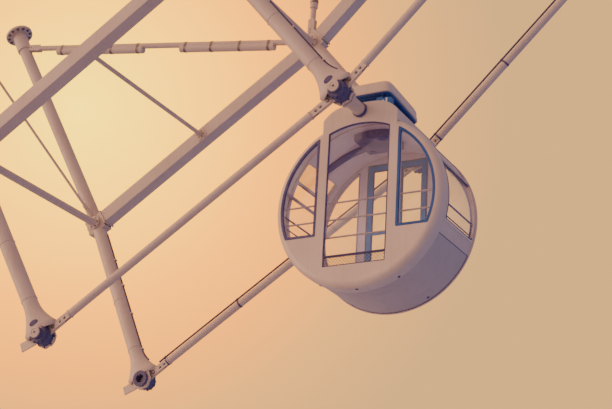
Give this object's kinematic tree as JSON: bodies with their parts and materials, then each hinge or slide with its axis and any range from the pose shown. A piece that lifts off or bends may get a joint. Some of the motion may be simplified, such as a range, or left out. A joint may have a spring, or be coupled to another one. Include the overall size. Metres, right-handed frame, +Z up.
{
  "type": "ferris wheel cabin in its rim section",
  "caption": "Round glazed ferris wheel cabin hung level on its axle in a two-bay section of the wheel's twin tubular rim, with hinged double doors at the rear.",
  "frame": {"origin": "centre of the hub-side flange face of the near rim's left spoke, the face that holds the section", "axes": "+Z up, +Y along the cabin's axle from the near rim to the far rim, +X along the wheel's plane"},
  "size_m": [10.8021, 3.05, 10.5059],
  "materials": {
    "cabin_paint": "satin",
    "rim_paint": "satin",
    "dark_trim": "satin",
    "dark_steel": "satin",
    "ceiling_paint": "matte",
    "floor_sheet": "matte",
    "window_glass": "clear"
  },
  "bodies": {
    "wheel_rim": {"arm_near_left": "rim_paint", "arm_near_middle": "rim_paint", "arm_near_right": "rim_paint", "rim_tube_near_left": "rim_paint", "ring_beam_near_left": "rim_paint", "plane_brace_near_left": "rim_paint", "rim_tube_near_right": "rim_paint", "ring_beam_near_right": "rim_paint", "plane_brace_near_right": "rim_paint", "bearing_flange_near": "dark_steel", "arm_far_left": "rim_paint", "arm_far_middle": "rim_paint", "arm_far_right": "rim_paint", "rim_tube_far_left": "rim_paint", "ring_beam_far_left": "rim_paint", "plane_brace_far_left": "rim_paint", "rim_tube_far_right": "rim_paint", "ring_beam_far_right": "rim_paint", "plane_brace_far_right": "rim_paint", "bearing_flange_far": "dark_steel", "cross_member_left": "rim_paint", "cross_member_middle": "rim_paint", "cross_member_right": "rim_paint", "mid_strut_left": "rim_paint", "mid_strut_right": "rim_paint", "tie_rod_left": "rim_paint", "tie_rod_right": "rim_paint"},
    "cabin": {"front_wall": "cabin_paint", "rear_wall": "cabin_paint", "roof_shell": "cabin_paint", "belly_shell": "cabin_paint", "floor_panel": "floor_sheet", "roof_housing": "cabin_paint", "louvre_band": "dark_trim", "roof_cap": "cabin_paint", "cabin_axle": "rim_paint", "ceiling_unit": "ceiling_paint", "vent_panel": "dark_steel", "front_guard_rails": "dark_steel", "front_centre_glass": "window_glass", "side_wall_left": "cabin_paint", "side_glass_left": "window_glass", "side_guard_left": "dark_steel", "front_glass_left": "window_glass", "rear_glass_left": "window_glass", "side_wall_right": "cabin_paint", "side_glass_right": "window_glass", "side_guard_right": "dark_steel", "front_glass_right": "window_glass", "rear_glass_right": "window_glass"},
    "door_left": {"door_leaf_left": "dark_trim", "door_glass_left": "window_glass"},
    "door_right": {"door_leaf_right": "dark_trim", "door_glass_right": "window_glass"}
  },
  "joints": [
    {"name": "cabin_pivot", "type": "hinge", "parent": "wheel_rim", "child": "cabin", "pos_m": [7.0421, 1.105, -3.29276], "axis": [0, 1, 0], "continuous": true},
    {"name": "door_left_hinge", "type": "hinge", "parent": "cabin", "child": "door_left", "pos_m": [6.6301, 1.693, -4.37776], "axis": [0, 0, 1], "range_deg": [0, 80]},
    {"name": "door_right_hinge", "type": "hinge", "parent": "cabin", "child": "door_right", "pos_m": [7.4541, 1.693, -4.37776], "axis": [0, 0, -1], "range_deg": [0, 80]}
  ]
}
